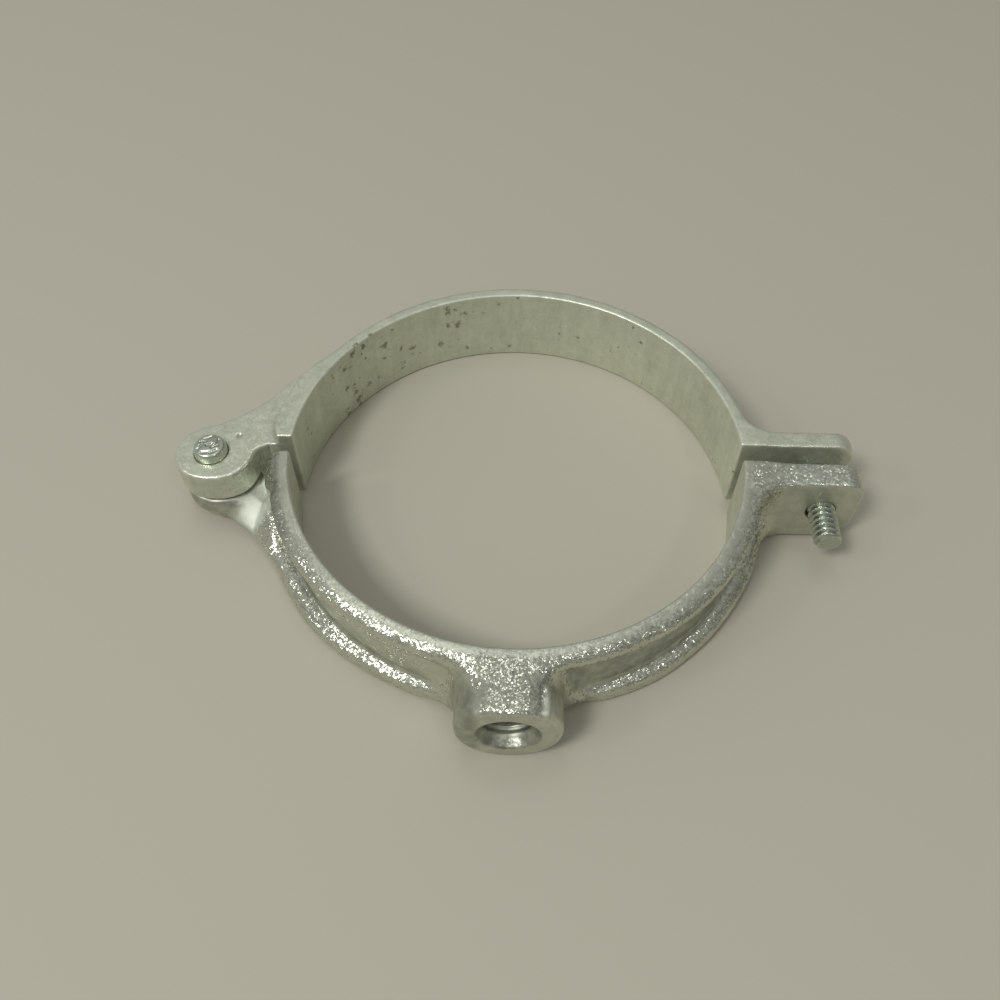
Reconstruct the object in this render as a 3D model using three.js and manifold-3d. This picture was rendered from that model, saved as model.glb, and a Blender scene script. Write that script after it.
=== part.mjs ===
// Hinged split-ring pipe clamp, lying flat. Millimetres, +Z up.
// The ring's axis is parallel to Z. The rod boss points to -Y, the hinge is at -X
// and the bolting lugs are at +X. The origin is the centre of the part's bounding
// box, on the plane that the ring lies on.
import * as THREE from 'three';
import { mergeVertices } from 'three/addons/utils/BufferGeometryUtils.js';
import Module from 'manifold-3d';

// ---------------------------------------------------------------- dimensions
const R_IN = 45.5;            // ring inner radius, for 88.9 mm pipe with running room
const BAND_W = 18.5;          // band width, along Z
const MID_Z = BAND_W / 2;
const BORE_SHIFT = 0.5;       // each half's bore is centred this far past the split plane
const STRAP_R = 48.4;         // outer radius of the plain strap half
const RIM_EXTRA = 1.7;        // the strap half is this much thicker beside its arm
const WEB_R = 48.0;           // outer radius of the rod half between its flanges
const TOP_FLANGE_R = 49.5;    // outer radii of the rod half's two flanges
const BASE_FLANGE_R = 50.8;
const SPLIT = 1.75;           // each split face stands this far from the split plane
const RING_SEGS = 80;

const HINGE_X = -62.2;        // hinge pin axis
const HINGE_Y = -0.4;
const UPPER_R = 6.9;          // upper knuckle, on the strap half
const UPPER_Z0 = 8.6;
const UPPER_Z1 = 15.7;
const LOWER_R = 6.9;          // lower knuckle, on the rod half
const LOWER_Z0 = 3.0;
const LOWER_Z1 = 8.3;
const SHOULDER_TOP = 17.0;    // the recess is closed up to here beside the hinge
const PIN_R = 3.3;
const PIN_Z0 = 2.2;
const PIN_Z1 = 17.9;          // the staked end stands 2.2 mm proud
const PIN_HOLE_UPPER_R = 3.75;
const PIN_HOLE_LOWER_R = 3.6;

const LUG_END_X = 69.5;
const LUG_Z0 = 0.2;
const LUG_Z1 = 18.3;
const LUG_CORNER_TOP = 4.3;   // corner radii of the lugs' outer ends
const LUG_CORNER_BASE = 6.0;
const ROD_LUG_Y = -7.7;       // front face of the thick lug
const STRAP_LUG_Y = 5.8;      // back face of the thin lug

const SCREW_X = 62.4;
const SCREW_R = 2.75;
const SCREW_TIP_Y = -15.4;
const SCREW_SEAT_Y = 6.1;     // under side of the head
const SCREW_HEAD_R = 5.3;
const SCREW_HEAD_H = 3.6;
const SCREW_HOLE_R = 3.15;
const SWING_OUT = 1.2;        // the rod lug's hole is longer towards +X by this much

const BOSS_X = -0.4;          // the boss is cast a little off centre
const BOSS_R = 9.75;
const BOSS_FACE_Y = -57.5;
const ROD_HOLE_R = 4.3;
const ROD_CHAMFER_R = 5.75;

const CENTRE_Y = -(BOSS_FACE_Y + STRAP_R - BORE_SHIFT) / 2;   // ring axis, from the origin

// ---------------------------------------------------------------- solids
const wasm = await Module();
wasm.setup();

function solid(geometry) {
  const g = geometry.clone();
  for (const name of Object.keys(g.attributes)) if (name !== 'position') g.deleteAttribute(name);
  const m = mergeVertices(g, 1e-4);
  const pos = Float32Array.from(m.attributes.position.array);
  const idx = [];
  const src = m.index.array;
  for (let i = 0; i < src.length; i += 3) {
    const [a, b, c] = [src[i], src[i + 1], src[i + 2]];
    if (a !== b && b !== c && a !== c) idx.push(a, b, c);
  }
  // signed volume, so a profile drawn clockwise still faces out
  let vol = 0;
  const p = (i) => new THREE.Vector3(pos[3 * i], pos[3 * i + 1], pos[3 * i + 2]);
  for (let i = 0; i < idx.length; i += 3) vol += p(idx[i]).dot(p(idx[i + 1]).cross(p(idx[i + 2])));
  if (vol < 0) for (let i = 0; i < idx.length; i += 3) [idx[i], idx[i + 1]] = [idx[i + 1], idx[i]];
  return new wasm.Manifold(new wasm.Mesh({
    numProp: 3, vertProperties: pos, triVerts: Uint32Array.from(idx),
  }));
}

function geometryOf(manifold) {
  const mesh = manifold.getMesh();
  const n = mesh.numProp;
  const pos = new Float32Array(mesh.vertProperties.length / n * 3);
  for (let i = 0; i < pos.length / 3; i++) {
    for (let k = 0; k < 3; k++) pos[3 * i + k] = mesh.vertProperties[n * i + k];
  }
  const g = new THREE.BufferGeometry();
  g.setAttribute('position', new THREE.BufferAttribute(pos, 3));
  g.setIndex(new THREE.BufferAttribute(Uint32Array.from(mesh.triVerts), 1));
  g.computeVertexNormals();
  return g;
}

const shapeOf = (points) => new THREE.Shape(points.map(([x, y]) => new THREE.Vector2(x, y)));

// a plan outline (x, y) raised from z0 to z1
function plate(points, z0, z1) {
  const g = new THREE.ExtrudeGeometry(shapeOf(points), { depth: z1 - z0, bevelEnabled: false });
  g.translate(0, 0, z0);
  return solid(g);
}

// a plan outline at z0 that changes to another with as many points at z1
function taperedPlate(base, top, z0, z1) {
  const n = base.length;
  const pos = [];
  for (const [x, y] of base) pos.push(x, y, z0);
  for (const [x, y] of top) pos.push(x, y, z1);
  const idx = [];
  const caps = (points, shift, up) => {
    const ring = points.map(([x, y]) => new THREE.Vector2(x, y));
    const turn = THREE.ShapeUtils.isClockWise(ring) ? -1 : 1;
    for (const [a, b, c] of THREE.ShapeUtils.triangulateShape(ring, [])) {
      const [pa, pb, pc] = [ring[a], ring[b], ring[c]];
      const ccw = (pb.x - pa.x) * (pc.y - pa.y) - (pb.y - pa.y) * (pc.x - pa.x) > 0;
      if (ccw === up) idx.push(a + shift, b + shift, c + shift);
      else idx.push(a + shift, c + shift, b + shift);
    }
    return turn;
  };
  const turn = caps(base, 0, false);
  caps(top, n, true);
  for (let i = 0; i < n; i++) {
    const j = (i + 1) % n;
    if (turn > 0) idx.push(i, j, j + n, i, j + n, i + n);
    else idx.push(i, j + n, j, i, i + n, j + n);
  }
  const g = new THREE.BufferGeometry();
  g.setAttribute('position', new THREE.Float32BufferAttribute(pos, 3));
  g.setIndex(idx);
  return solid(g);
}

// a front outline (x, z) carried from y0 to y1
function frontPlate(points, y0, y1) {
  const g = new THREE.ExtrudeGeometry(shapeOf(points), { depth: y1 - y0, bevelEnabled: false });
  g.rotateX(Math.PI / 2);
  g.translate(0, y1, 0);
  return solid(g);
}

// a profile (radius, height) turned about an axis parallel to Z, at x = 0 and y
function turnedZ(profile, segments, y) {
  const g = new THREE.LatheGeometry(profile.map(([r, h]) => new THREE.Vector2(r, h)), segments);
  g.rotateX(Math.PI / 2);
  g.translate(0, y, 0);
  return solid(g);
}

// a profile (radius, y) turned about an axis parallel to Y, at x and z
function turnedY(profile, segments, x, z) {
  const g = new THREE.LatheGeometry(profile.map(([r, h]) => new THREE.Vector2(r, h)), segments);
  g.translate(x, 0, z);
  return solid(g);
}

function postZ(r, z0, z1, x, y, segments = 40) {
  const g = new THREE.CylinderGeometry(r, r, z1 - z0, segments);
  g.rotateX(Math.PI / 2);
  g.translate(x, y, (z0 + z1) / 2);
  return solid(g);
}

function block(x0, x1, y0, y1, z0, z1) {
  const g = new THREE.BoxGeometry(x1 - x0, y1 - y0, z1 - z0);
  g.translate((x0 + x1) / 2, (y0 + y1) / 2, (z0 + z1) / 2);
  return solid(g);
}

const closed = (profile) => [...profile, profile[0]];
const boreCutter = (y) => postZ(R_IN + 0.4, -2, BAND_W + 2, 0, y, RING_SEGS);

// outline of a lug seen from the front, with its outer corners rounded
function lugOutline() {
  const pts = [[40, LUG_Z0]];
  const arc = (r, cz, a0, a1) => {
    for (let i = 0; i <= 6; i++) {
      const a = THREE.MathUtils.degToRad(a0 + (a1 - a0) * i / 6);
      pts.push([LUG_END_X - r + r * Math.cos(a), cz + r * Math.sin(a)]);
    }
  };
  arc(LUG_CORNER_BASE, LUG_Z0 + LUG_CORNER_BASE, -90, 0);
  arc(LUG_CORNER_TOP, LUG_Z1 - LUG_CORNER_TOP, 0, 90);
  pts.push([40, LUG_Z1]);
  return pts;
}

// ---------------------------------------------------------------- rod half
function makeRodHalf() {
  const section = closed([
    [R_IN, 0.4], [R_IN + 0.4, 0], [BASE_FLANGE_R - 1.8, 0], [BASE_FLANGE_R - 0.5, 0.6],
    [BASE_FLANGE_R, 1.7], [BASE_FLANGE_R, 2.9], [BASE_FLANGE_R - 0.6, 4.1], [BASE_FLANGE_R - 1.9, 4.8],
    [WEB_R, 5.3], [WEB_R, BAND_W - 5.2], [TOP_FLANGE_R - 0.9, BAND_W - 4.7],
    [TOP_FLANGE_R - 0.2, BAND_W - 3.8], [TOP_FLANGE_R, BAND_W - 2.6], [TOP_FLANGE_R - 0.2, BAND_W - 1.4],
    [TOP_FLANGE_R - 0.8, BAND_W - 0.5], [TOP_FLANGE_R - 1.8, BAND_W], [R_IN + 0.4, BAND_W],
    [R_IN, BAND_W - 0.4],
  ]);
  const ring = turnedZ(section, RING_SEGS, BORE_SHIFT).intersect(block(-60, 60, -60, -SPLIT, -1, 20));

  // lug, with a hollow fillet into the flanges
  const lugPlan = [
    [46.2, -SPLIT], [LUG_END_X + 1, -SPLIT], [LUG_END_X + 1, ROD_LUG_Y], [56.0, ROD_LUG_Y],
    [54.2, -8.2], [52.8, -9.4], [51.7, -11.2], [50.9, -13.6], [49.6, -16.4], [46.6, -16.4],
  ];
  const lug = plate(lugPlan, -1, 20).intersect(frontPlate(lugOutline(), -30, 5)).subtract(boreCutter(BORE_SHIFT));

  // arm and lower knuckle; the arm's front slopes back towards its top
  const armBack = [[-46.0, -16.0], [-46.0, -2.0], [-49.6, -2.0], [-52.6, 0.6], [-56.2, 3.9], [-60.0, HINGE_Y + 6.6]];
  const armFoot = [[-64.2, -6.9], [-61.3, -8.4], [-58.4, -9.5], [-55.0, -11.0], [-52.0, -14.0], [-49.4, -17.0], ...armBack];
  const armTop = [[-63.4, -6.9], [-60.8, -7.4], [-58.2, -6.8], [-56.0, -5.3], [-53.8, -3.0], [-50.2, -2.1], ...armBack];
  const knuckle = postZ(LOWER_R, LOWER_Z0, LOWER_Z1, HINGE_X, HINGE_Y);
  const shoulderPlan = [
    [-51.2, -2.1], [-51.1, -5.0], [-50.7, -8.5], [-49.9, -12.0], [-48.4, -16.0], [-46.0, -18.0],
    [-46.0, -2.1],
  ];
  const arm = taperedPlate(armFoot, armTop, LOWER_Z0, LOWER_Z1)
    .add(knuckle)
    .add(plate(shoulderPlan, LOWER_Z0, SHOULDER_TOP))
    .subtract(boreCutter(BORE_SHIFT));

  // rod boss, turned about Y and trimmed to the band's width
  const bossSection = [
    [0, BOSS_FACE_Y], [BOSS_R - 0.8, BOSS_FACE_Y], [BOSS_R, BOSS_FACE_Y + 0.9],
    [BOSS_R, BOSS_FACE_Y + 4.0], [BOSS_R + 0.8, BOSS_FACE_Y + 6.0],
    [BOSS_R + 2.4, BOSS_FACE_Y + 7.8], [BOSS_R + 4.6, BOSS_FACE_Y + 9.0],
    [BOSS_R + 4.6, -43.0], [0, -43.0],
  ];
  const boss = turnedY(bossSection, 40, BOSS_X, MID_Z)
    .intersect(block(-20, 20, -60, -40, 0.2, BAND_W - 0.2))
    .subtract(boreCutter(BORE_SHIFT));

  const rodHole = turnedY([
    [0, BOSS_FACE_Y - 1], [ROD_CHAMFER_R + 0.8, BOSS_FACE_Y - 1],
    [ROD_HOLE_R, BOSS_FACE_Y + (ROD_CHAMFER_R - ROD_HOLE_R) / 0.8],
    [ROD_HOLE_R, -43.0], [0, -43.0],
  ], 32, BOSS_X, MID_Z);

  const pinHole = postZ(PIN_HOLE_LOWER_R, 0, 12, HINGE_X, HINGE_Y, 32);

  // the screw's hole, longer towards +X so that the screw can swing out with the strap
  const slot = [];
  for (let i = 0; i <= 12; i++) {
    const a = THREE.MathUtils.degToRad(-90 + 15 * i);
    slot.push([SCREW_X + SWING_OUT + SCREW_HOLE_R * Math.cos(a), MID_Z + SCREW_HOLE_R * Math.sin(a)]);
  }
  for (let i = 0; i <= 12; i++) {
    const a = THREE.MathUtils.degToRad(90 + 15 * i);
    slot.push([SCREW_X + SCREW_HOLE_R * Math.cos(a), MID_Z + SCREW_HOLE_R * Math.sin(a)]);
  }
  const screwHole = frontPlate(slot, -12, 0);

  return ring.add(lug).add(arm).add(boss).subtract(rodHole).subtract(pinHole).subtract(screwHole);
}

// ---------------------------------------------------------------- strap half
function makeStrapHalf() {
  const section = closed([
    [R_IN, 0.4], [R_IN + 0.4, 0], [STRAP_R - 0.7, 0], [STRAP_R, 0.8], [STRAP_R, BAND_W - 0.8],
    [STRAP_R - 0.7, BAND_W], [R_IN + 0.4, BAND_W], [R_IN, BAND_W - 0.4],
  ]);
  const ring = turnedZ(section, RING_SEGS, -BORE_SHIFT).intersect(block(-60, 60, SPLIT, 60, -1, 20));

  // the thicker stretch of the rim beside the arm
  const ease = (t) => { const c = Math.min(1, Math.max(0, t)); return c * c * (3 - 2 * c); };
  const rimOut = [];
  const rimIn = [];
  for (let turn = 2; turn <= 38; turn += 2) {
    const a = THREE.MathUtils.degToRad(180 - turn);
    const r = STRAP_R - 0.2 + RIM_EXTRA * ease((36 - turn) / 16) * ease((turn + 0.5) / 8);
    rimOut.push([r * Math.cos(a), r * Math.sin(a) - BORE_SHIFT]);
    rimIn.unshift([46.6 * Math.cos(a), 46.6 * Math.sin(a) - BORE_SHIFT]);
  }
  const rim = plate([...rimOut, ...rimIn], 0, BAND_W)
    .intersect(block(-60, 0, SPLIT, 60, -1, 20));

  const lugPlan = [
    [46.2, SPLIT], [LUG_END_X + 1, SPLIT], [LUG_END_X + 1, STRAP_LUG_Y], [55.0, STRAP_LUG_Y],
    [52.6, 6.3], [50.4, 7.6], [48.6, 9.8], [47.4, 12.6], [46.6, 13.6], [44.5, 12.6],
  ];
  const lug = plate(lugPlan, -1, 20).intersect(frontPlate(lugOutline(), -5, 30)).subtract(boreCutter(-BORE_SHIFT));

  const armPlan = [
    [-64.8, HINGE_Y + 6.1], [-62.9, 6.5], [-59.3, 8.7], [-56.2, 10.9], [-52.9, 13.8], [-51.0, 16.4],
    [-49.0, 19.4], [-46.6, 22.0], [-43.0, 20.0], [-43.0, 14.0], [-46.0, SPLIT], [-49.4, SPLIT],
    [-51.2, 1.6], [-52.6, 0.9], [-53.5, 0.0], [-54.0, -1.2], [-54.6, -2.5], [-56.2, -3.9],
  ];
  const arm = plate(armPlan, UPPER_Z0, UPPER_Z1)
    .add(postZ(UPPER_R, UPPER_Z0, UPPER_Z1, HINGE_X, HINGE_Y))
    .subtract(boreCutter(-BORE_SHIFT));

  const pinHole = postZ(PIN_HOLE_UPPER_R, 5, 20, HINGE_X, HINGE_Y, 32);
  const screwHole = turnedY([[0, 0], [SCREW_HOLE_R, 0], [SCREW_HOLE_R, 12], [0, 12]], 28, SCREW_X, MID_Z);
  return ring.add(rim).add(lug).add(arm).subtract(pinHole).subtract(screwHole);
}

// ---------------------------------------------------------------- pin and screw
function makePin() {
  const profile = [
    [0, PIN_Z0], [PIN_R - 0.5, PIN_Z0], [PIN_R, PIN_Z0 + 0.5], [PIN_R, PIN_Z1 - 0.7],
    [PIN_R - 0.9, PIN_Z1], [0, PIN_Z1],
  ];
  const g = new THREE.LatheGeometry(profile.map(([r, h]) => new THREE.Vector2(r, h)), 32);
  g.rotateX(Math.PI / 2);
  g.translate(HINGE_X, HINGE_Y, 0);
  return solid(g);
}

function makeScrew() {
  const head = [];
  for (let i = 0; i <= 6; i++) {
    const a = THREE.MathUtils.degToRad(15 * i);
    head.push([SCREW_HEAD_R * Math.cos(a), SCREW_SEAT_Y + 0.7 + (SCREW_HEAD_H - 0.7) * Math.sin(a)]);
  }
  head[6][0] = 0;
  const body = turnedY([
    [0, SCREW_TIP_Y], [SCREW_R - 0.6, SCREW_TIP_Y], [SCREW_R, SCREW_TIP_Y + 0.6],
    [SCREW_R, SCREW_SEAT_Y], [SCREW_HEAD_R, SCREW_SEAT_Y], ...head,
  ], 28, SCREW_X, MID_Z);
  const driverSlot = block(SCREW_X - 8, SCREW_X + 8, SCREW_SEAT_Y + 1.7, SCREW_SEAT_Y + 6, MID_Z - 0.8, MID_Z + 0.8);
  return body.subtract(driverSlot);
}

// ---------------------------------------------------------------- assembly
const castZinc = () => new THREE.MeshStandardMaterial({ color: 0x9aa296, roughness: 0.42, metalness: 0.85 });
const steelZinc = () => new THREE.MeshStandardMaterial({ color: 0x8f9a92, roughness: 0.3, metalness: 0.95 });

function meshOf(name, manifold, material) {
  const mesh = new THREE.Mesh(geometryOf(manifold), material);
  mesh.name = name;
  return mesh;
}

const clamp = new THREE.Group();
clamp.position.set(0, CENTRE_Y, 0);
clamp.add(meshOf('rod_half', makeRodHalf(), castZinc()));
clamp.add(meshOf('strap_half', makeStrapHalf(), castZinc()));
clamp.add(meshOf('hinge_pin', makePin(), steelZinc()));
clamp.add(meshOf('clamp_screw', makeScrew(), steelZinc()));

const group = new THREE.Group();
group.add(clamp);

export default group;
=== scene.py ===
"""Looks for the hinged split-ring pipe clamp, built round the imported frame.

Each casting, the pin and the screw is a finished mesh that stands for its CAD solid. The
shapes are written as distance fields in millimetres about the ring's axis, meshed here,
and moved to the row frame in metres.
"""

import math

import bpy
import numpy as np
from mathutils import Matrix, Vector


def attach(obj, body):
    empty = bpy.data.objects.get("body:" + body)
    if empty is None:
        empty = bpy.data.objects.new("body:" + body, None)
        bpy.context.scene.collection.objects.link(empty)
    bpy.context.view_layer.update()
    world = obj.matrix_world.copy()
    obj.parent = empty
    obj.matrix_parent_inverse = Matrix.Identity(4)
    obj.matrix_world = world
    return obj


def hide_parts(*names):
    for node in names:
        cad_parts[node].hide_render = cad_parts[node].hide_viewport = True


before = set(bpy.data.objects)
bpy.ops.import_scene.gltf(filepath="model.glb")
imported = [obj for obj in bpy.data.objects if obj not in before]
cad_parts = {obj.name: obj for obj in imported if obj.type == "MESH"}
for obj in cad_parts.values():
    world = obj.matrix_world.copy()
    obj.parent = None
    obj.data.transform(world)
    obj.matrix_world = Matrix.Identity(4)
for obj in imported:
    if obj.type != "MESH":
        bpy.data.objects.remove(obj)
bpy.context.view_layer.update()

# ------------------------------------------------------------------ dimensions (mm)
W = 18.5                      # band width
M = W / 2
R_IN = 45.5
STRAP_R = 48.1
WEB_R = 48.0
SPLIT = 1.75
HX, HY = -62.2, -0.4          # hinge pin axis
UP_Z0, UP_Z1 = 8.6, 15.7
LOW_Z0, LOW_Z1 = 2.6, 8.3
LUG_END = 69.5
SX = 62.4                     # screw axis
BOSS_Y = -57.5
RING_Y = 4.8                  # ring axis, from the row's origin


# ------------------------------------------------------------------ field tools
def smin(a, b, k):
    h = np.maximum(k - np.abs(a - b), 0.0) / k
    return np.minimum(a, b) - h * h * k * 0.25


def smax(a, b, k):
    return -smin(-a, -b, k)


def step01(t):
    t = np.clip(t, 0.0, 1.0)
    return t * t * (3 - 2 * t)


def rbox2(u, v, cu, cv, hu, hv, r):
    qu = np.abs(u - cu) - (hu - r)
    qv = np.abs(v - cv) - (hv - r)
    return np.hypot(np.maximum(qu, 0), np.maximum(qv, 0)) + np.minimum(np.maximum(qu, qv), 0) - r


def polygon(x, y, pts):
    """Signed distance to a closed outline, negative inside."""
    x, y = np.broadcast_arrays(x, y)
    d = np.full(x.shape, 1e9)
    inside = np.zeros(x.shape, bool)
    n = len(pts)
    for i in range(n):
        ax, ay = pts[i]
        bx, by = pts[(i + 1) % n]
        ex, ey = bx - ax, by - ay
        wx, wy = x - ax, y - ay
        t = np.clip((wx * ex + wy * ey) / (ex * ex + ey * ey), 0, 1)
        d = np.minimum(d, (wx - ex * t) ** 2 + (wy - ey * t) ** 2)
        crosses = ((ay <= y) != (by <= y)) & (x < ax + (y - ay) * ex / (ey if abs(ey) > 1e-12 else 1e-12))
        inside ^= crosses
    d = np.sqrt(d)
    return np.where(inside, -d, d)


def hash01(ix, iy, iz, seed):
    h = (ix.astype(np.uint32) * np.uint32(374761393)
         ^ iy.astype(np.uint32) * np.uint32(668265263)
         ^ iz.astype(np.uint32) * np.uint32(2147483647)) + np.uint32(seed * 144665 + 12345)
    h = (h ^ (h >> np.uint32(13))) * np.uint32(1274126177)
    h = (h ^ (h >> np.uint32(16))) * np.uint32(2246822519)
    h = h ^ (h >> np.uint32(15))
    return h.astype(np.float64) / 4294967295.0


def noise(p, scale, seed=0):
    """Smooth value noise in [-1, 1]; scale is the size of a lump in mm."""
    q = p / scale + 1000.0
    i = np.floor(q).astype(np.int64)
    f = q - i
    f = f * f * f * (f * (f * 6 - 15) + 10)
    out = 0.0
    for dx in (0, 1):
        wx = f[:, 0] if dx else 1 - f[:, 0]
        for dy in (0, 1):
            wy = f[:, 1] if dy else 1 - f[:, 1]
            for dz in (0, 1):
                wz = f[:, 2] if dz else 1 - f[:, 2]
                out = out + wx * wy * wz * hash01(i[:, 0] + dx, i[:, 1] + dy, i[:, 2] + dz, seed)
    return out * 2 - 1


def gradient(f, p, e=0.02):
    g = np.empty_like(p)
    for a in range(3):
        q = p.copy()
        q[:, a] += e
        hi = f(q[:, 0], q[:, 1], q[:, 2])
        q[:, a] -= 2 * e
        lo = f(q[:, 0], q[:, 1], q[:, 2])
        g[:, a] = (hi - lo) / (2 * e)
    return g


def curvature(f, p, e=0.3):
    """Sum of the two curvatures in 1/mm: positive on edges, negative in hollows."""
    c = -6 * f(p[:, 0], p[:, 1], p[:, 2])
    for a in range(3):
        for s in (-e, e):
            q = p.copy()
            q[:, a] += s
            c = c + f(q[:, 0], q[:, 1], q[:, 2])
    return c / (e * e)


def surface(f, lo, hi, h, relax=3):
    """Meshes the zero surface of f with one vertex in each cell that it crosses, all quads."""
    ax = [np.arange(a - 1.5 * h, b + 1.5 * h, h) for a, b in zip(lo, hi)]
    F = f(ax[0][:, None, None], ax[1][None, :, None], ax[2][None, None, :])
    F = np.ascontiguousarray(np.broadcast_to(F, tuple(len(a) for a in ax))).astype(np.float32)
    inside = F < 0
    n = np.zeros(tuple(s - 1 for s in F.shape), np.int8)
    for dx in (0, 1):
        for dy in (0, 1):
            for dz in (0, 1):
                n += inside[dx:F.shape[0] - 1 + dx, dy:F.shape[1] - 1 + dy, dz:F.shape[2] - 1 + dz]
    cells = np.argwhere((n > 0) & (n < 8))
    index = np.full(n.shape, -1, np.int64)
    index[tuple(cells.T)] = np.arange(len(cells))
    corners = [(dx, dy, dz) for dx in (0, 1) for dy in (0, 1) for dz in (0, 1)]
    val = {c: F[cells[:, 0] + c[0], cells[:, 1] + c[1], cells[:, 2] + c[2]] for c in corners}
    total = np.zeros((len(cells), 3))
    count = np.zeros(len(cells))
    for c in corners:
        for a in range(3):
            if c[a] == 0:
                d = list(c)
                d[a] = 1
                d = tuple(d)
                v0, v1 = val[c], val[d]
                cut = (v0 < 0) != (v1 < 0)
                t = np.where(cut, v0 / np.where(v0 == v1, 1, v0 - v1), 0)
                pos = np.tile(np.array(c, float), (len(cells), 1))
                pos[:, a] = t
                total += pos * cut[:, None]
                count += cut
    p = np.array([ax[0][0], ax[1][0], ax[2][0]]) + (cells + total / count[:, None]) * h
    quads = []
    for a in range(3):
        b, c = (a + 1) % 3, (a + 2) % 3
        s0 = [slice(None)] * 3
        s1 = [slice(None)] * 3
        s0[a] = slice(0, -1)
        s1[a] = slice(1, None)
        cut = inside[tuple(s0)] != inside[tuple(s1)]
        e = np.argwhere(cut)
        e = e[(e[:, b] > 0) & (e[:, c] > 0) & (e[:, b] < F.shape[b] - 1) & (e[:, c] < F.shape[c] - 1)]
        def at(db, dc):
            q = e.copy()
            q[:, b] -= db
            q[:, c] -= dc
            return index[tuple(q.T)]
        quad = np.stack([at(1, 1), at(0, 1), at(0, 0), at(1, 0)], 1)
        flip = ~inside[tuple(e.T)]
        quad[flip] = quad[flip][:, ::-1]
        quads.append(quad)
    quads = np.concatenate(quads)
    for _ in range(relax):
        v = f(p[:, 0], p[:, 1], p[:, 2])
        g = gradient(f, p)
        move = -v[:, None] * g / np.maximum((g * g).sum(1), 0.05)[:, None]
        length = np.linalg.norm(move, axis=1)
        move *= np.minimum(1, 0.6 * h / np.maximum(length, 1e-9))[:, None]
        p = p + move
    g = gradient(f, p)
    normal = g / np.maximum(np.linalg.norm(g, axis=1), 1e-9)[:, None]
    return p, quads, normal


def mesh_object(name, p, quads):
    """A smooth mesh object in the row frame from ring-centred millimetres."""
    q = (p + np.array([0, RING_Y, 0])) / 1000.0
    me = bpy.data.meshes.new(name)
    me.vertices.add(len(q))
    me.vertices.foreach_set("co", q.astype(np.float32).ravel())
    me.loops.add(quads.size)
    me.loops.foreach_set("vertex_index", quads.astype(np.int32).ravel())
    me.polygons.add(len(quads))
    me.polygons.foreach_set("loop_start", np.arange(0, quads.size, 4, dtype=np.int32))
    me.polygons.foreach_set("use_smooth", np.ones(len(quads), bool))
    me.update(calc_edges=True)
    me.validate()
    o = bpy.data.objects.new(name, me)
    bpy.context.scene.collection.objects.link(o)
    return o


def attribute(o, name, values):
    a = o.data.attributes.new(name, "FLOAT", "POINT")
    a.data.foreach_set("value", np.asarray(values, np.float32))


# ------------------------------------------------------------------ rod half
ARM_BACK = [(-46.0, -16.0), (-46.0, -2.0), (-49.6, -2.0), (-52.6, 0.6), (-56.2, 3.9), (-60.0, HY + 6.6)]
ARM_FOOT = [(-64.4, -6.7), (-61.3, -7.5), (-58.4, -9.3), (-55.0, -12.0), (-52.0, -15.3), (-49.4, -18.2)] + ARM_BACK
ARM_TOP = [(-63.4, -7.1), (-60.8, -7.5), (-58.2, -6.8), (-56.0, -5.3), (-53.8, -3.0), (-50.2, -1.9)] + ARM_BACK


def cut_corners(pts, times=2):
    for _ in range(times):
        out = []
        for i in range(len(pts)):
            (ax, ay), (bx, by) = pts[i], pts[(i + 1) % len(pts)]
            out += [(0.75 * ax + 0.25 * bx, 0.75 * ay + 0.25 * by), (0.25 * ax + 0.75 * bx, 0.25 * ay + 0.75 * by)]
        pts = out
    return pts


ARM_FOOT = cut_corners(ARM_FOOT)
ARM_TOP = cut_corners(ARM_TOP)
NEAR_Y = 0.5                  # each half's bore is centred this far past the other side of the split


def lug_outline(x, z, end, top, bottom):
    upper = rbox2(x, z, (20 + end) / 2, M, (end - 20) / 2, M - 0.2, top)
    lower = rbox2(x, z, (20 + end) / 2, M, (end - 20) / 2, M - 0.2, bottom)
    return np.where(z > M, upper, lower)


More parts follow.
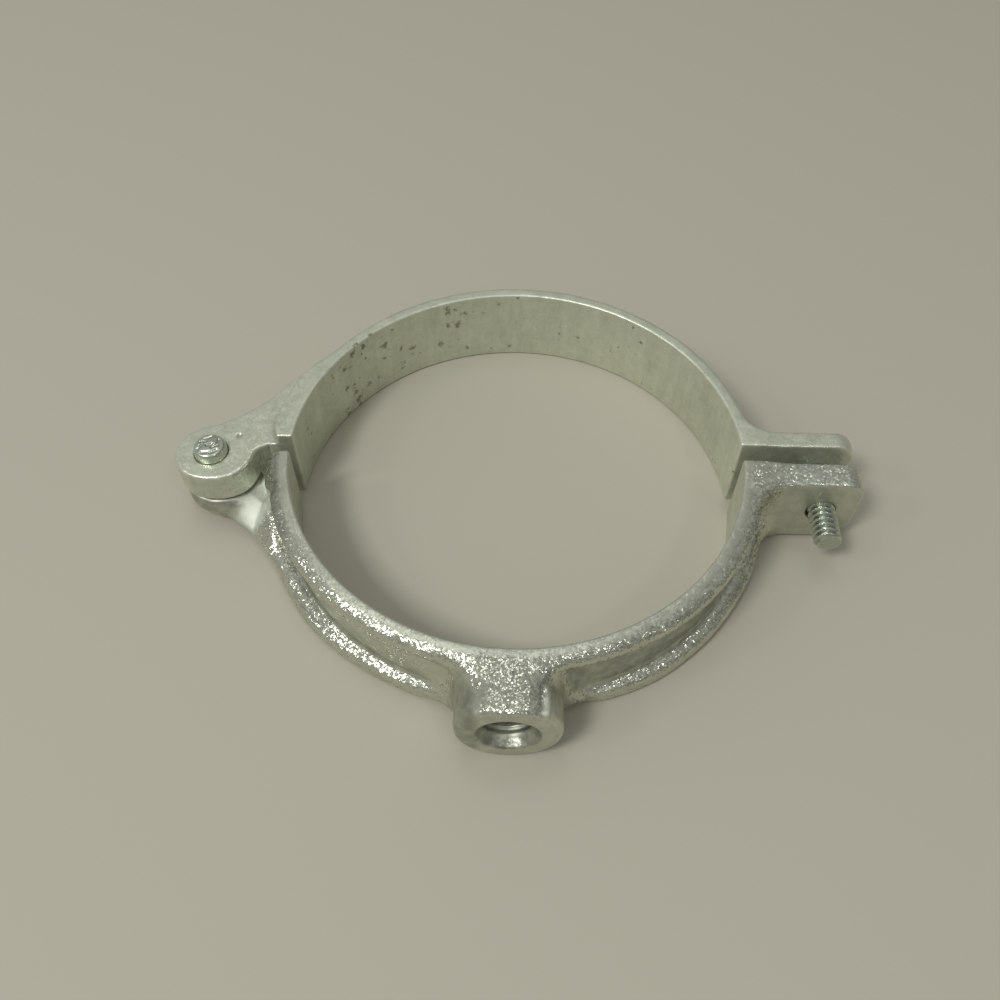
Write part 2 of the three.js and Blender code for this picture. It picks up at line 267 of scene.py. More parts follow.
def rod_half(x, y, z):
    r = np.sqrt(x * x + (y - NEAR_Y) ** 2)
    az = np.abs(z - M)
    off = np.degrees(np.abs(np.arctan2(x, -y)))          # angle away from the boss
    left = np.interp(off, [18, 27, 36, 45, 55, 62, 71, 80], [49.7, 49.8, 50.1, 50.8, 51.3, 51.8, 52.6, 52.8])
    right = np.interp(off, [18, 26, 33, 42, 50, 62, 74, 80], [49.5, 49.9, 50.3, 50.4, 50.6, 51.0, 51.7, 51.9])
    lower = np.where(x < 0, left, right)
    upper = np.interp(off, [20, 32, 58, 80], [49.1, 49.3, 49.7, 50.0])
    flange = np.where(z > M, upper, lower)
    web = r - WEB_R
    bead = rbox2(r, az, (38 + flange) / 2, 7.0, (flange - 38) / 2, 2.4, 2.3)
    # the lower flange's top is a flat slope
    ledge = smax(rbox2(r, M - z, (38 + flange + 0.5) / 2, 7.0, (flange + 0.5 - 38) / 2, 2.6, 1.1),
                 (r - 48.4) * 0.45 + (z - 4.9) * 0.893, 0.9)
    take = step01((off - 15) / 6) * step01((np.where(x < 0, 66, 86) - off) / 16)
    bead = bead + (np.minimum(bead, ledge) - bead) * take
    d = smin(web, bead, 1.2)
    # boss
    rb = np.sqrt((x + 0.4) ** 2 + (z - M) ** 2)
    boss = smax(rb - 9.75, BOSS_Y - y, 2.0)
    boss = smax(boss, y + 38, 1.0)
    low = step01((M + 1 - z) / 6)                         # the fillets beside the boss widen downwards
    d = smin(d, boss, np.where(x > 0, 3.6 + 3.4 * low, 5.4 + 3.6 * low))
    # a seam left by the mould beside the boss
    seam = np.sqrt((x - 6.2) ** 2 + ((z - 15.7) * 0.75) ** 2 + ((y + 54.0) * 0.42) ** 2) - 1.3
    d = smin(d, seam, 0.8)
    # lug
    lug = smax(np.abs(y + (SPLIT + 7.7) / 2) - (7.7 - SPLIT) / 2, lug_outline(x, z, LUG_END, 4.3, 6.0), 0.8)
    lug = smax(lug, 30 - x, 1.0)
    d = smin(d, lug, 6.0)
    # the flanges close round the end of the recess beside the hinge
    end = smax(smax(r - 51.0, az - M, 2.6), -(y + 9.0), 2.2)
    end = smax(end, x + 30, 1.0)
    d = smin(d, end, 3.0)
    slope = (r - 47.8 - 0.7 * step01((off - 76) / 9) - (W - z) * 0.66) / 1.2 - 7.0 * step01((80 - off) / 24)
    d = smax(d, np.where(x < -24, slope, -9.0), 1.0)
    # the band's sides, then the split face and the bore
    d = smax(d, az - M, 0.7 + 0.9 * step01((y + 56) / 8))
    d = smax(d, y + SPLIT, 0.7)
    d = smax(d, R_IN - r, 0.5)
    # arm and lower knuckle
    rho = np.sqrt((x - HX) ** 2 + (y - HY) ** 2)
    knuckle = smax(smax(rho - 6.9, z - LOW_Z1, 0.9), LOW_Z0 + 0.4 - z, 1.6)
    up = np.clip((z - LOW_Z0 - 0.6) / (LOW_Z1 + 0.4 - LOW_Z0 - 0.6), 0, 1.15)
    ramp = (1 - up) * polygon(x, y, ARM_FOOT) + up * polygon(x, y, ARM_TOP)
    arm = smax(smax(ramp, z - LOW_Z1, 1.6), LOW_Z0 + 0.4 - z, 1.6)
    arm = smin(knuckle, arm, 1.5)
    d = smin(d, arm, 1.8)
    back = np.minimum(y + SPLIT, ((y + 1.9) + (x + 49.6) * 0.9) / 1.345)
    d = smax(d, np.where(x < 0, back, y + SPLIT), 0.5)
    # relief round the upper knuckle, the bore and the band's sides
    relief = smax(rho - 8.9, LOW_Z1 - z, 0.3)
    d = smax(d, -relief, 0.9)
    d = smax(d, R_IN - r, 0.3)
    # tapped rod hole with a chamfered mouth
    phi = np.arctan2(z - M, x + 0.4)
    thread = rb - 4.5 - 0.22 * np.cos(2 * np.pi * y / 1.5875 - phi)
    mouth = (rb - 5.85 + 0.55 * (y - BOSS_Y)) / 1.14
    hole = smax(smin(thread, mouth, 0.5), y + 30, 0.5)
    d = smax(d, -hole, 0.5)
    # pin hole and screw hole
    d = smax(d, -(rho - 3.5), 0.3)
    # the screw hole is worn oval towards the ring, so the screw stays clear as the lugs close
    worn = 0.32 * np.clip(-y / 7.7, 0, 1.2)
    u = x - SX
    rs = np.sqrt((u - np.clip(u, -worn, 0)) ** 2 + (z - M) ** 2)
    flare = np.maximum((rs - 2.90 + (y + 7.7)) / 1.414, rs - 3.4)
    screw = smax(np.minimum(rs - 2.84, flare), y, 0.5)
    return smax(d, -screw, 0.3)


# ------------------------------------------------------------------ strap half
STRAP_ARM = [(-65.0, HY + 6.3), (-62.9, 6.5), (-59.3, 8.7), (-56.2, 10.9), (-52.9, 13.8), (-51.0, 16.4),
             (-49.0, 19.4), (-46.6, 22.3), (-43.8, 24.9), (-40.8, 27.1), (-37.4, 29.2), (-35.6, 27.0), (-40.0, 18.0),
             (-43.0, 14.0), (-46.0, SPLIT), (-49.4, SPLIT),
             (-51.2, 1.6), (-52.6, 0.9), (-53.5, 0.0), (-54.0, -1.2), (-54.6, -2.5), (-56.2, -3.9)]

STRAP_ARM = cut_corners(STRAP_ARM, 1)


def strap_half(x, y, z):
    r = np.sqrt(x * x + (y + NEAR_Y) ** 2)
    az = np.abs(z - M)
    turn = np.degrees(np.arctan2(y, -x))                  # angle away from the hinge side
    wide = 1.7 * step01((36 - turn) / 16) * step01((turn + 0.5) / 8)
    outer = 48.4 + wide
    round_r = 1.25 - 0.75 * step01((34 - turn) / 12)
    band = rbox2(r, az, (outer + 38) / 2, M / 2 - 2, (outer - 38) / 2, M / 2 + 2, round_r)
    lug = smax(np.abs(y - (SPLIT + 5.8) / 2) - (5.8 - SPLIT) / 2, lug_outline(x, z, LUG_END - 0.3, 4.3, 6.0), 0.6)
    lug = smax(lug, 30 - x, 1.0)
    d = smin(band, lug, 5.5)
    d = smax(d, SPLIT - y, 0.5)
    rho = np.sqrt((x - HX) ** 2 + (y - HY) ** 2)
    zk = np.abs(z - (UP_Z0 + UP_Z1) / 2) - (UP_Z1 - UP_Z0) / 2
    eye = np.sqrt((x - HX + 0.35) ** 2 + (y - HY) ** 2)
    cheek = np.sqrt((x - HX - 1.7) ** 2 + (y - HY + 0.05) ** 2)
    eye = smin(eye, cheek, 0.6) - 6.85 - 0.12 * (UP_Z1 - z) / 7.1
    plan = smin(eye, polygon(x, y, STRAP_ARM), 0.9)
    d = smin(d, smax(plan, zk, 0.6), 0.8)
    front = np.minimum(SPLIT - y, (SPLIT - y + 3.0 * (x + 51.0)) / 3.16)
    d = smax(d, np.where(x < 0, front, SPLIT - y), 0.4)
    d = smax(d, R_IN - r, 0.5)
    d = smax(d, az - M, 0.5)
    pin = rho - 3.48
    d = smax(d, -pin, 0.3)
    pit = np.sqrt((x + 57.2) ** 2 + (y - 4.0) ** 2 + (z - 16.1) ** 2) - 0.75
    d = smax(d, -pit, 0.2)
    rs = np.sqrt((x - SX) ** 2 + (z - M) ** 2)
    return smax(d, -smax(rs - 3.3, -y, 0.5), 0.3)


# ------------------------------------------------------------------ pin and screw
STAKES = [(-0.5, 1.9, 25, 0.8), (-1.3, 0.9, 10, 0.55), (-1.7, -0.5, 60, 0.7), (0.1, 0.0, 15, 0.45),
          (1.1, -0.3, 40, 0.5), (1.8, 0.7, 95, 0.7), (-0.2, -1.9, 5, 0.9), (1.2, -1.7, 30, 0.6)]


def hinge_pin(x, y, z):
    u, v = x - HX, y - HY
    rho = np.sqrt(u * u + v * v)
    top = 17.9 - 0.022 * rho * rho
    d = smax(rho - 3.4 + 0.14 * np.maximum(z - 15.7, 0), z - top, 0.8)
    d = smax(d, 2.2 - z, 0.5)
    groove = np.hypot(rho - 2.5, z - 18.0) - 0.3
    d = smax(d, -groove, 0.2)
    # stake marks pressed into the end
    for su, sv, turn, half in STAKES:
        a = math.radians(turn)
        s = (u - su) * math.cos(a) + (v - sv) * math.sin(a)
        t = -(u - su) * math.sin(a) + (v - sv) * math.cos(a)
        mark = np.sqrt(np.maximum(np.abs(s) - half, 0) ** 2 + t * t + (z - 17.95) ** 2) - 0.38
        d = smax(d, -mark, 0.25)
    return d


def clamp_screw(x, y, z):
    u, v = x - SX, z - M
    rs = np.sqrt(u * u + v * v)
    phi = np.arctan2(v, u)
    cut = step01((4.6 - y) / 1.2)
    wave = (y / 1.27 - phi / (2 * np.pi)) % 1.0
    tri = np.abs(wave - 0.5) * 2                          # 1 at the crest, 0 at the root
    depth = 0.78 * (1 - np.clip(tri * 1.25 - 0.12, 0, 1)) * cut
    shank = (rs - 2.75 + depth) * 0.7
    tip = (rs - 2.5 - (y + 15.4)) / 1.414
    shank = smax(smax(shank, tip, 0.1), -15.4 - y, 0.15)
    shank = smax(shank, y - 7.0, 0.3)
    under = 6.1 - y
    dome = np.sqrt(rs * rs + (np.maximum(y - 6.9, 0) * 1.75) ** 2) - 5.3
    head = smax(dome, under, 0.5)
    d = np.minimum(shank, head)
    slot = smax(np.abs(v) - 0.75, 7.9 - y, 0.3)
    return smax(d, -slot, 0.3)


# ------------------------------------------------------------------ pieces
H = 0.3


def build(name, f, lo, hi, h, body, node, slot):
    p, quads, normal = surface(f, lo, hi, h)
    return p, quads, normal, (name, body, node, slot)


def finish_piece(p, quads, info, **fields):
    name, body, node, slot = info
    o = mesh_object(name, p, quads)
    for k, v in fields.items():
        attribute(o, k, v)
    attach(o, body)
    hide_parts(node)
    return o


def smooth_mask(p, mask_fn):
    return np.clip(mask_fn(p), 0, 1)


# rod half: rough cast grain outside, smoother in the bore, on the split faces and in the recess
p, q, n, info = build("rod_half_casting", rod_half, (-70, -58.2, -0.4), (70.2, 8, W + 0.4), H,
                      "rod_half_body", "rod_half", "cast_zinc")
rr = np.hypot(p[:, 0], p[:, 1] - NEAR_Y)
rho = np.hypot(p[:, 0] - HX, p[:, 1] - HY)
grain = np.ones(len(p))
grain *= step01((rr - 45.7) / 0.5)                                   # the bore is smooth
flat_rim = step01((48.0 - rr) / 0.9) * step01((np.abs(n[:, 2]) - 0.9) / 0.08)
grain *= 1 - 0.65 * flat_rim                                         # and so is the rim beside it
grain *= 1 - 0.85 * step01((n[:, 1] - 0.8) / 0.15)                   # split faces
grain *= 1 - 0.7 * step01((-n[:, 1] - 0.9) / 0.08) * (p[:, 1] < -56.0)
recess = step01((5.0 - np.abs(p[:, 2] - M)) / 1.2) * step01((49.3 - rr) / 0.8) * step01((rr - 46.5) / 0.6)
grain *= 1 - 0.85 * recess
arm_zone = step01((15.5 - rho) / 2.5) * step01((10.0 - p[:, 2]) / 1.5) * step01((rr - 50.6) / 0.8)
grain *= 1 - 0.9 * arm_zone
lugfront = step01((p[:, 0] - 52) / 2) * step01((-n[:, 1] - 0.8) / 0.15)
grain *= 1 - 0.85 * lugfront
half = 4.3 + 0.62 * np.maximum(p[:, 1] + 54.5, 0)                     # the top narrows towards the boss's face
neck = step01((12.5 - np.abs(p[:, 0])) / 1.5) * step01((np.abs(p[:, 0] + 0.2) - half) / 1.8) * step01((-47.8 - p[:, 1]) / 1.5)
grain *= 1 - 0.85 * neck
rb = np.hypot(p[:, 0] + 0.4, p[:, 2] - M)
inside = step01((6.3 - rb) / 0.5) * (p[:, 1] < -46)
grain *= 1 - 0.9 * inside * step01((5.0 - rb) / 0.4)
grain *= 1 - 0.7 * inside
bend = curvature(rod_half, p)
# lighter convex edges, part worn plating and part painted highlight
edge = step01((bend - 0.7) / 1.4)
# painted shade in hollows, found from the surface's curvature
hollow = step01((-bend - 0.1) / 0.6)
faces = step01((-n[:, 1] - 0.86) / 0.1)                              # vertical faces turned to the front, which get painted shade
# painted shade on the near lug's and the boss's front faces
painted_shade_spots = 0.42 * faces * np.maximum(step01((p[:, 0] - 52) / 3), step01((-56.6 - p[:, 1]) / 0.5))
# painted shade in the recess to the right of the boss
painted_shade_spots = np.maximum(painted_shade_spots, 1.1 * recess * step01((p[:, 0] - 6) / 4) * step01((52 - p[:, 0]) / 8))
# painted shade on the ring's outer slope beside the hinge
flank = step01((-41 - p[:, 0]) / 4) * step01((rr - 47.3) / 0.9) * step01((p[:, 2] - 8.5) / 2.0)
painted_shade_spots = np.maximum(painted_shade_spots, 1.25 * flank)
# painted contact shadow round the lower knuckle, under the upper one
painted_shade_spots = np.maximum(painted_shade_spots, 1.25 * step01((9.4 - rho) / 1.5) * step01((9.0 - p[:, 2]) / 0.6))
# painted shade inside the rod hole
painted_shade_spots = np.maximum(painted_shade_spots, 1.5 * inside)
# deeper painted shade in the recess next to the boss
painted_shade_spots = np.maximum(painted_shade_spots, 1.4 * step01((17.5 - p[:, 0]) / 6) * step01((p[:, 0] - 6.5) / 2) * recess)
# painted shade on both sides of the boss's neck
painted_shade_spots = np.maximum(painted_shade_spots, 1.3 * neck * step01(-p[:, 0] / 2) * step01((M + 9.0 - p[:, 2]) / 2.5))
painted_shade_spots = np.maximum(painted_shade_spots, 1.0 * neck * step01(p[:, 0] / 2) * step01((p[:, 1] + 56.5) / 1.0))
# all these painted shade spots join the painted shade in hollows
hollow = np.maximum(hollow, painted_shade_spots)
# painted highlight: lighter, rougher colour on the lower arm's top and on the near lug's top
sheen = np.maximum(0.8 * arm_zone * step01((p[:, 0] + 60.5) / 3.0) * step01((rho - 9.0) / 1.2),
                   0.45 * step01((p[:, 0] - 50) / 3) * step01((n[:, 2] - 0.7) / 0.2))
bump = 0.03 * noise(p, 1.5, 1) + 0.03 * noise(p, 0.8, 2) + 0.035 * noise(p, 4.5, 3)
slow = 0.04 * noise(p, 6.0, 4)
p = p + n * (bump * grain + slow)[:, None]
rod = finish_piece(p, q, info, grain=grain, edge=edge, hollow=hollow, sheen=sheen)

# strap half: smooth satin, a little waviness, rust specks on the bore towards the hinge
p, q, n, info = build("strap_half_casting", strap_half, (-70, -8, -0.4), (70.2, 49, W + 0.4), H,
                      "strap_half_body", "strap_half", "strap_zinc")
rr = np.hypot(p[:, 0], p[:, 1] + NEAR_Y)
grain = 0.3 + 0.3 * step01((rr - 47) / 1.0)
bend = curvature(strap_half, p)
# lighter convex edges, part worn plating and part painted highlight
edge = step01((bend - 0.5) / 1.2)
# painted shade in hollows, from curvature, and on the front-facing faces by the split
hollow = step01((-bend - 0.1) / 0.6)
hollow = np.maximum(hollow, 0.4 * step01((-n[:, 1] - 0.86) / 0.1) * step01((SPLIT + 0.4 - p[:, 1]) / 0.3))
# painted shade in the valley along the rim's outer edge beside the hinge
around = np.degrees(np.arctan2(p[:, 1], -p[:, 0]))
step_out = rr - 48.4 - 1.7 * step01((36 - around) / 16) * step01((around + 0.5) / 8)
corner = step01((2.3 - step_out) / 2.0) * step01((step_out + 0.5) / 0.3) * step01((p[:, 2] - 14.8) / 0.5)
corner *= step01((17.9 - p[:, 2]) / 0.3) * step01((13.0 - p[:, 1]) / 5.0) * (p[:, 0] < -44)
hollow = np.maximum(hollow, corner)
# painted reflection: the upper knuckle's cheek lightened where its side faces front and right
rho = np.hypot(p[:, 0] - HX - 1.0, p[:, 1] - HY)
painted_cheek_reflection = step01((8.6 - rho) / 0.8) * step01((rho - 5.6) / 0.5) * step01((UP_Z1 - 0.2 - p[:, 2]) / 0.4) * step01((p[:, 2] - UP_Z0 + 0.2) / 0.4)
painted_cheek_reflection *= step01((n[:, 0] - 0.12) / 0.14) * step01((0.92 - n[:, 0]) / 0.12) * step01((-n[:, 1] - 0.3) / 0.2)
edge = np.maximum(edge, 0.95 * painted_cheek_reflection)                                   # painted reflection on the knuckle's cheek
bump = 0.03 * noise(p, 1.4, 11) + 0.03 * noise(p, 3.2, 12) + 0.04 * noise(p, 8.0, 13)
p = p + n * (bump * grain * 1.6)[:, None]
turn = np.degrees(np.arctan2(p[:, 1], -p[:, 0]))
where = 0.30 + 0.70 * step01((turn - 12) / 10) * step01((98 - turn) / 22)
rust = step01((46.3 - rr) / 0.3) * where
strap = finish_piece(p, q, info, grain=grain, rust=rust, edge=edge, hollow=hollow)

p, q, n, info = build("hinge_pin_staked", hinge_pin, (HX - 3.8, HY - 3.8, 1.6), (HX + 3.8, HY + 3.8, 18.3), 0.12,
                      "rod_half_body", "hinge_pin", "pin_steel")
bend = curvature(hinge_pin, p, 0.15)
# edges lightened as wear and painted highlight; painted shade in hollows
pin = finish_piece(p, q, info, edge=0.5 * step01((bend - 0.8) / 2.0), hollow=0.6 * step01((-bend - 0.4) / 1.5))

p, q, n, info = build("clamp_screw_threaded", clamp_screw, (SX - 5.6, -15.8, M - 5.6), (SX + 5.6, 10.2, M + 5.6), 0.12,
                      "screw_body", "clamp_screw", "screw_steel")
bend = curvature(clamp_screw, p, 0.15)
# edges lightened as wear and painted highlight; painted shade in hollows
screw = finish_piece(p, q, info, edge=step01((bend - 0.8) / 2.0), hollow=step01((-bend - 0.4) / 1.5))


# ------------------------------------------------------------------ materials
def nodes_of(mat):
    mat.use_nodes = True
    nt = mat.node_tree
    nt.nodes.clear()
    return nt


def new(nt, kind, x=0, y=0, **values):
    nd = nt.nodes.new(kind)
    nd.location = (x, y)
    for k, v in values.items():
        if k in nd.inputs:
            nd.inputs[k].default_value = v
        else:
            setattr(nd, k, v)
    return nd


def noise_tex(nt, coord, scale, detail=3.0, rough=0.55, distortion=0.0):
    nd = new(nt, "ShaderNodeTexNoise")
    nd.inputs["Scale"].default_value = scale
    nd.inputs["Detail"].default_value = detail
    nd.inputs["Roughness"].default_value = rough
    nd.inputs["Distortion"].default_value = distortion
    nt.links.new(coord, nd.inputs["Vector"])
    return nd.outputs["Fac"]


def ramp(nt, fac, stops):
    nd = new(nt, "ShaderNodeValToRGB")
    cr = nd.color_ramp
    while len(cr.elements) < len(stops):
        cr.elements.new(0.5)
    for e, (pos, col) in zip(cr.elements, stops):
        e.position = pos
        e.color = (*col, 1) if len(col) == 3 else col
    nt.links.new(fac, nd.inputs["Fac"])
    return nd.outputs["Color"]


def math_node(nt, op, a, b=None, clamp=False):
    nd = new(nt, "ShaderNodeMath", operation=op, use_clamp=clamp)
    for i, v in enumerate((a, b)):
        if v is None:
            continue
        if isinstance(v, (int, float)):
            nd.inputs[i].default_value = v
        else:
            nt.links.new(v, nd.inputs[i])
    return nd.outputs[0]


def remap(nt, v, a, b, c, d):
    nd = new(nt, "ShaderNodeMapRange")
    nd.clamp = True
    nd.inputs["From Min"].default_value = a
    nd.inputs["From Max"].default_value = b
    nd.inputs["To Min"].default_value = c
    nd.inputs["To Max"].default_value = d
    nt.links.new(v, nd.inputs["Value"])
    return nd.outputs["Result"]


def mix_rgb(nt, fac, a, b, mode="MIX"):
    nd = nt.nodes.new("ShaderNodeMix")
    nd.data_type = "RGBA"
    nd.blend_type = mode
    for sock, v in ((nd.inputs[0], fac), (nd.inputs[6], a), (nd.inputs[7], b)):
        if isinstance(v, (int, float)):
            sock.default_value = v
        elif isinstance(v, tuple):
            sock.default_value = (*v, 1) if len(v) == 3 else v
        else:
            nt.links.new(v, sock)
    return nd.outputs[2]


def attribute_fac(nt, name):
    return new(nt, "ShaderNodeAttribute", attribute_name=name).outputs["Fac"]


def zinc(name, base, dark, rough, metal=0.8, grain=None, coarse=0.6, fine=1.0, rusty=False, sheen=False, strength=0.85, facet=0.0, facet_size=0.6):
    """Zinc plate over a casting: slow colour changes, a cast grain, edges lightened as wear and painted highlight,
    painted shade in hollows, rust specks.
    """
    mat = bpy.data.materials.new(name)
    nt = nodes_of(mat)
    out = new(nt, "ShaderNodeOutputMaterial", 900)
    bsdf = new(nt, "ShaderNodeBsdfPrincipled", 600)
    nt.links.new(bsdf.outputs[0], out.inputs["Surface"])
    tc = new(nt, "ShaderNodeTexCoord", -900)
    co = tc.outputs["Object"]
    slow = noise_tex(nt, co, 70, 5, 0.65)
    mid = noise_tex(nt, co, 480, 3, 0.6)
    small = noise_tex(nt, co, 1150, 2, 0.6)
    fleck = noise_tex(nt, co, 3800, 1, 0.5)
    col = ramp(nt, slow, [(0.32, dark), (0.68, base)])
    tint = ramp(nt, mid, [(0.3, (0.88, 0.89, 0.87)), (0.7, (1.0, 1.0, 1.0))])
    col = mix_rgb(nt, 1.0, col, tint, "MULTIPLY")
    tint = ramp(nt, fleck, [(0.3, (0.86, 0.86, 0.86)), (0.7, (1.0, 1.0, 1.0))])
    col = mix_rgb(nt, 0.8, col, tint, "MULTIPLY")
    r0 = remap(nt, mid, 0.3, 0.7, rough - 0.05, rough + 0.05)
    height = math_node(nt, "ADD", math_node(nt, "MULTIPLY", mid, coarse), math_node(nt, "MULTIPLY", small, fine))
    bump = new(nt, "ShaderNodeBump")
    bump.inputs["Distance"].default_value = 0.0003
    if grain:
        g = attribute_fac(nt, grain)
        nt.links.new(remap(nt, g, 0.0, 1.0, 0.06, strength), bump.inputs["Strength"])
        r0 = math_node(nt, "ADD", r0, remap(nt, g, 0.0, 1.0, 0.26, -0.04))
    else:
        bump.inputs["Strength"].default_value = 0.10
    nt.links.new(height, bump.inputs["Height"])
    # edges lightened as worn plating and painted highlight, and painted shade in hollows
    edge = math_node(nt, "MULTIPLY", attribute_fac(nt, "edge"), remap(nt, small, 0.35, 0.6, 0.35, 1.0))
    hollow = math_node(nt, "MULTIPLY", attribute_fac(nt, "hollow"), remap(nt, mid, 0.35, 0.65, 1.0, 0.45))
    col = mix_rgb(nt, math_node(nt, "MULTIPLY", edge, 0.38), col, (0.93, 0.93, 0.86))
    # painted shade: colour darkened towards a dark green-grey
    col = mix_rgb(nt, math_node(nt, "MULTIPLY", hollow, 0.5, clamp=True), col, (0.20, 0.215, 0.18))
    r0 = math_node(nt, "ADD", r0, math_node(nt, "MULTIPLY", edge, -0.12))
    if sheen:
        s = attribute_fac(nt, "sheen")
        # painted highlight: colour lightened and roughness raised
        col = mix_rgb(nt, math_node(nt, "MULTIPLY", s, 0.5), col, (0.80, 0.87, 0.80))
        r0 = math_node(nt, "ADD", r0, math_node(nt, "MULTIPLY", s, 0.22))
    metallic = metal
    if rusty:
        squash = new(nt, "ShaderNodeMapping")
        squash.inputs["Scale"].default_value = (1.0, 1.0, 0.12)
        nt.links.new(co, squash.inputs["Vector"])
        streak = noise_tex(nt, squash.outputs["Vector"], 420, 4, 0.7)
        tint = ramp(nt, streak, [(0.3, (0.86, 0.86, 0.84)), (0.65, (1.0, 1.0, 1.0))])
        col = mix_rgb(nt, 0.8, col, tint, "MULTIPLY")
        amount = attribute_fac(nt, "rust")
        vor = new(nt, "ShaderNodeTexVoronoi")
        vor.inputs["Scale"].default_value = 500
        warp = noise_tex(nt, co, 1300, 4, 0.75)
        nt.links.new(co, vor.inputs["Vector"])
        dist = math_node(nt, "ADD", vor.outputs["Distance"], math_node(nt, "MULTIPLY", math_node(nt, "SUBTRACT", warp, 0.5), 1.9))
        sep = new(nt, "ShaderNodeSeparateColor")
        nt.links.new(vor.outputs["Color"], sep.inputs["Color"])
        cluster = noise_tex(nt, co, 110, 2, 0.5)
        keep = math_node(nt, "MULTIPLY", remap(nt, cluster, 0.42, 0.62, 0.25, 1.0), amount)
        size = math_node(nt, "SUBTRACT", sep.outputs[0], math_node(nt, "SUBTRACT", 1.0, math_node(nt, "MULTIPLY", keep, 0.62)))
        size = math_node(nt, "MULTIPLY", size, 0.68)
        spot = remap(nt, math_node(nt, "SUBTRACT", size, dist), -0.16, 0.04, 0.0, 1.0)
        spot = math_node(nt, "MULTIPLY", spot, remap(nt, amount, 0.0, 0.2, 0.0, 0.72))
        col = mix_rgb(nt, spot, col, (0.165, 0.14, 0.08))
        r0 = math_node(nt, "ADD", r0, math_node(nt, "MULTIPLY", spot, 0.35), clamp=True)
        nt.links.new(remap(nt, spot, 0, 1, metal, 0.1), bsdf.inputs["Metallic"])
    else:
        bsdf.inputs["Metallic"].default_value = metallic
    nt.links.new(col, bsdf.inputs["Base Color"])
    nt.links.new(r0, bsdf.inputs["Roughness"])
    normal = bump.outputs[0]
    if facet:
        # each crystal of the coating is tilted a little its own way
        bent = new(nt, "ShaderNodeVectorMath", operation="MULTIPLY_ADD")
        warp = new(nt, "ShaderNodeTexNoise")
        warp.inputs["Scale"].default_value = 900
        nt.links.new(co, warp.inputs["Vector"])
        nt.links.new(warp.outputs["Color"], bent.inputs[0])
        bent.inputs[1].default_value = (0.0007, 0.0007, 0.0007)
        nt.links.new(co, bent.inputs[2])
        cells = new(nt, "ShaderNodeTexVoronoi")
        cells.inputs["Scale"].default_value = 1000.0 / facet_size
        nt.links.new(bent.outputs[0], cells.inputs["Vector"])
        tilt = new(nt, "ShaderNodeVectorMath", operation="SUBTRACT")
        nt.links.new(cells.outputs["Color"], tilt.inputs[0])
        tilt.inputs[1].default_value = (0.5, 0.5, 0.5)
        scaled = new(nt, "ShaderNodeVectorMath", operation="SCALE")
        nt.links.new(tilt.outputs[0], scaled.inputs[0])
        nt.links.new(math_node(nt, "MULTIPLY", g, facet), scaled.inputs["Scale"])
        total = new(nt, "ShaderNodeVectorMath", operation="ADD")
        nt.links.new(normal, total.inputs[0])
        nt.links.new(scaled.outputs[0], total.inputs[1])
        unit = new(nt, "ShaderNodeVectorMath", operation="NORMALIZE")
        nt.links.new(total.outputs[0], unit.inputs[0])
        normal = unit.outputs[0]
    nt.links.new(normal, bsdf.inputs["Normal"])
    return mat


cast = zinc("zinc_cast", (0.76, 0.77, 0.66), (0.64, 0.66, 0.57), 0.23, 0.9, "grain", 0.5, 0.5, sheen=True, strength=0.7,
            facet=0.46, facet_size=0.34)
satin = zinc("zinc_satin", (0.82, 0.85, 0.71), (0.71, 0.74, 0.62), 0.32, 0.66, "grain", 0.4, 0.6, rusty=True, strength=0.6,
             facet=0.22, facet_size=0.40)
pin_mat = zinc("zinc_pin", (0.72, 0.76, 0.66), (0.57, 0.62, 0.54), 0.26, 0.88)
screw_mat = zinc("zinc_screw", (0.64, 0.69, 0.60), (0.46, 0.50, 0.44), 0.26, 0.9)
for o, m in ((rod, cast), (strap, satin), (pin, pin_mat), (screw, screw_mat)):
    o.data.materials.append(m)

# ------------------------------------------------------------------ floor, light, camera
bpy.ops.mesh.primitive_plane_add(size=6, location=(0, 0, 0))
floor = bpy.context.object
floor.name = "floor"
fm = bpy.data.materials.new("floor_plain")
nt = nodes_of(fm)
fo = new(nt, "ShaderNodeOutputMaterial", 400)
fb = new(nt, "ShaderNodeBsdfPrincipled", 0)
fb.inputs["Base Color"].default_value = (0.51, 0.487, 0.408, 1)
fb.inputs["Roughness"].default_value = 0.75
nt.links.new(fb.outputs[0], fo.inputs["Surface"])
floor.data.materials.append(fm)

world = bpy.data.worlds.new("studio")
bpy.context.scene.world = world
world.use_nodes = True
wt = world.node_tree
background = wt.nodes["Background"]
direction = wt.nodes.new("ShaderNodeTexCoord").outputs["Generated"]
dot = wt.nodes.new("ShaderNodeVectorMath")
dot.operation = "DOT_PRODUCT"
dot.inputs[1].default_value = (-0.38, 0.0, 0.85)
wt.links.new(direction, dot.inputs[0])
level = wt.nodes.new("ShaderNodeMapRange")
level.clamp = True
for socket, value in (("From Min", -0.35), ("From Max", 0.9), ("To Min", 0.13), ("To Max", 0.50)):
    level.inputs[socket].default_value = value
wt.links.new(dot.outputs["Value"], level.inputs["Value"])
background.inputs[0].default_value = (0.86, 0.87, 0.81, 1)
wt.links.new(level.outputs["Result"], background.inputs[1])


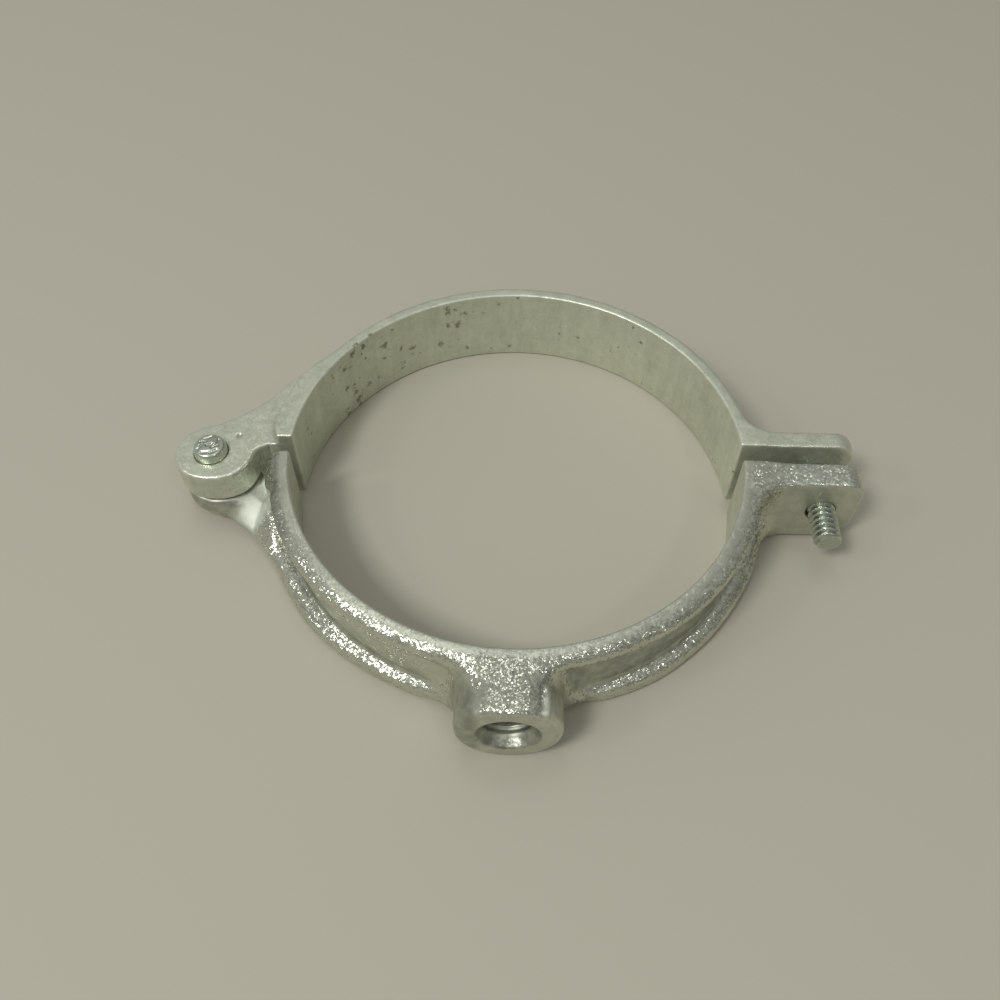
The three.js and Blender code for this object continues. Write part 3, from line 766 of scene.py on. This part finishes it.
def area(name, where, size, power, colour, aim=(0, 0, 0.01)):
    ld = bpy.data.lights.new(name, "AREA")
    ld.shape = "RECTANGLE"
    ld.size, ld.size_y = size
    ld.energy = power
    ld.color = colour
    lo = bpy.data.objects.new(name, ld)
    bpy.context.scene.collection.objects.link(lo)
    lo.location = where
    lo.rotation_mode = "QUATERNION"
    lo.rotation_quaternion = (Vector(aim) - Vector(where)).to_track_quat("-Z", "Y")
    return lo


area("key", (-0.50, -0.50, 1.00), (0.26, 0.26), 5.5, (1.0, 0.995, 0.96))
area("left", (-0.86, -0.30, 0.82), (0.10, 0.10), 0.6, (0.98, 1.0, 0.97))
area("right", (0.42, -0.55, 1.00), (0.10, 0.10), 0.6, (0.98, 1.0, 0.97))
area("back", (-0.10, 0.30, 1.14), (0.34, 0.34), 0.8, (0.98, 1.0, 0.97))

cam_data = bpy.data.cameras.new("camera")
cam = bpy.data.objects.new("camera", cam_data)
bpy.context.scene.collection.objects.link(cam)
bpy.context.scene.camera = cam
cam_data.sensor_width = 36
cam_data.lens = 34.93
cam_data.clip_start = 0.005
cam_data.clip_end = 50


def place_camera(elevation, azimuth, distance, pitch, yaw, roll):
    """Aimed at the ring's centre on the floor, then turned a little by pitch, yaw and roll."""
    e, a = math.radians(elevation), math.radians(azimuth)
    d = distance * R_IN / 1000
    back = Vector((math.cos(e) * math.sin(a), -math.cos(e) * math.cos(a), math.sin(e)))
    right = Vector((0, 0, 1)).cross(back).normalized()
    up = back.cross(right)
    rows = Matrix((right, up, back))
    p, y, r = (math.radians(v) for v in (pitch, yaw, roll))
    turn = (Matrix(((math.cos(r), -math.sin(r), 0), (math.sin(r), math.cos(r), 0), (0, 0, 1)))
            @ Matrix(((math.cos(y), 0, math.sin(y)), (0, 1, 0), (-math.sin(y), 0, math.cos(y))))
            @ Matrix(((1, 0, 0), (0, math.cos(p), -math.sin(p)), (0, math.sin(p), math.cos(p)))))
    m = (turn @ rows).transposed()
    cam.matrix_world = Matrix.Translation(back * d + Vector((0, RING_Y / 1000, 0))) @ m.to_4x4()


place_camera(53.63, -0.38, 4.62, -0.080, -0.864, -1.523)

scene = bpy.context.scene
scene.view_settings.view_transform = "Standard"

bpy.context.view_layer.update()
